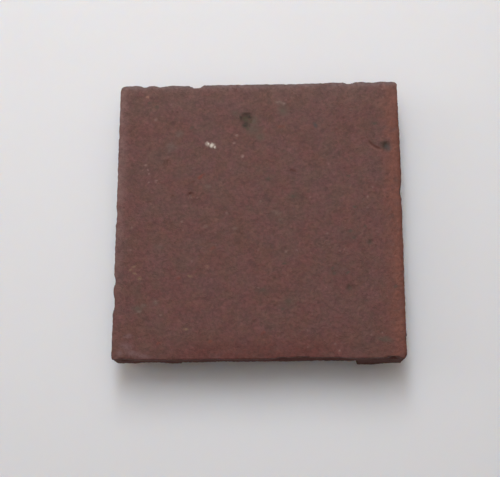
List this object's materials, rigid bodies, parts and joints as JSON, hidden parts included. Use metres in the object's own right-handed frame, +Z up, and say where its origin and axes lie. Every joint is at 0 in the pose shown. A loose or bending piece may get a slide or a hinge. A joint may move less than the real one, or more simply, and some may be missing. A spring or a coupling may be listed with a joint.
{
  "type": "plain clay floor tile",
  "caption": "Square unglazed red clay floor tile with a worn arris, chipped edges and a long flake lost from the lower near edge.",
  "frame": {"origin": "middle of the back, on the floor that the tile lies on", "axes": "+Z up, from the back to the face; -Y towards the side with the lost flake; +X to the right, seen from that side"},
  "size_m": [0.076, 0.076, 0.0125],
  "materials": {
    "fired_clay": "matt, unglazed, worn"
  },
  "bodies": {
    "root": {"tile": "fired_clay"}
  },
  "joints": []
}
